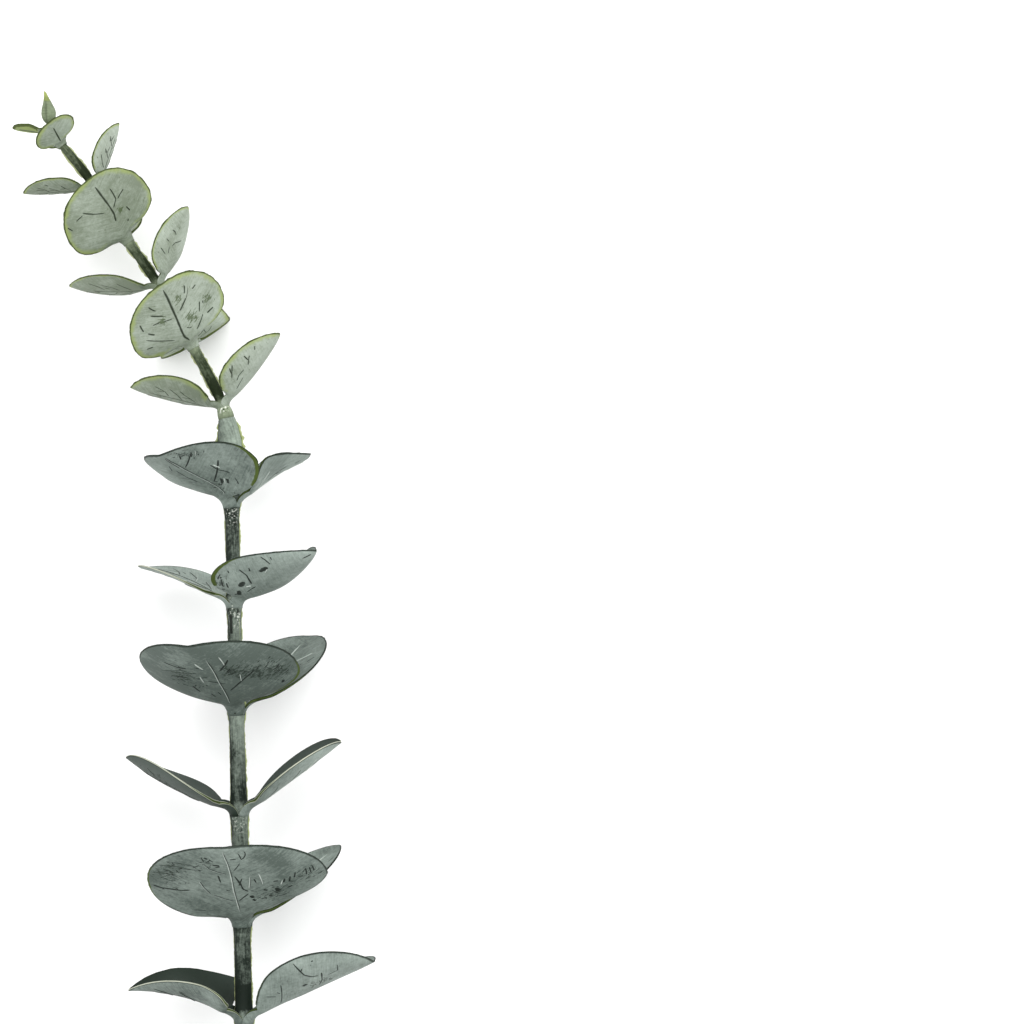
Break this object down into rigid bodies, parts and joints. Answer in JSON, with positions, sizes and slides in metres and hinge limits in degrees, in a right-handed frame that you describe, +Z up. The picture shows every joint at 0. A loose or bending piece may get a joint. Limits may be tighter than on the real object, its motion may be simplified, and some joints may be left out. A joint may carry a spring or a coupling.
{
  "type": "eucalyptus branch",
  "caption": "Cut decorative eucalyptus branch with round paired grey-green leaves on a slender bowed stem and a thin leafy tip, lying on its side.",
  "frame": {"origin": "centre of the bounding box seen from above, on the surface the branch lies on", "axes": "+Y along the branch from the cut end to the tip, +X to the right seen from above, +Z up"},
  "size_m": [0.1097, 0.4372, 0.066],
  "materials": {
    "leaf": "matte, grey-green with embossed veins and thin lighter rims",
    "spray_leaf": "matte, pale green with yellow-green rims",
    "stem": "matte, dark grey-green with a thin green moulding line",
    "spray_stem": "matte, olive green",
    "bud": "matte, green with a yellow-green tip"
  },
  "bodies": {
    "root": {"main_stem": "stem", "spray_stem": "spray_stem", "tip_bud": "bud", "leaf_14_left": "leaf", "leaf_14_right": "leaf", "leaf_13_front": "leaf", "leaf_13_back": "leaf", "leaf_12_left": "leaf", "leaf_12_right": "leaf", "leaf_11_front": "leaf", "leaf_11_back": "leaf", "leaf_10_left": "leaf", "leaf_10_right": "leaf", "leaf_09_front": "leaf", "leaf_09_back": "leaf", "leaf_08_front": "leaf", "leaf_08_back": "leaf", "leaf_07_front": "leaf", "leaf_07_back": "leaf", "leaf_06_left": "spray_leaf", "leaf_06_right": "spray_leaf", "leaf_05_front": "spray_leaf", "leaf_05_back": "spray_leaf", "leaf_04_left": "spray_leaf", "leaf_04_right": "spray_leaf", "leaf_03_front": "spray_leaf", "leaf_03_back": "spray_leaf", "leaf_02_left": "spray_leaf", "leaf_02_right": "spray_leaf", "leaf_01_front": "spray_leaf", "leaf_01_back": "spray_leaf", "leaf_00_left": "spray_leaf"}
  },
  "joints": []
}
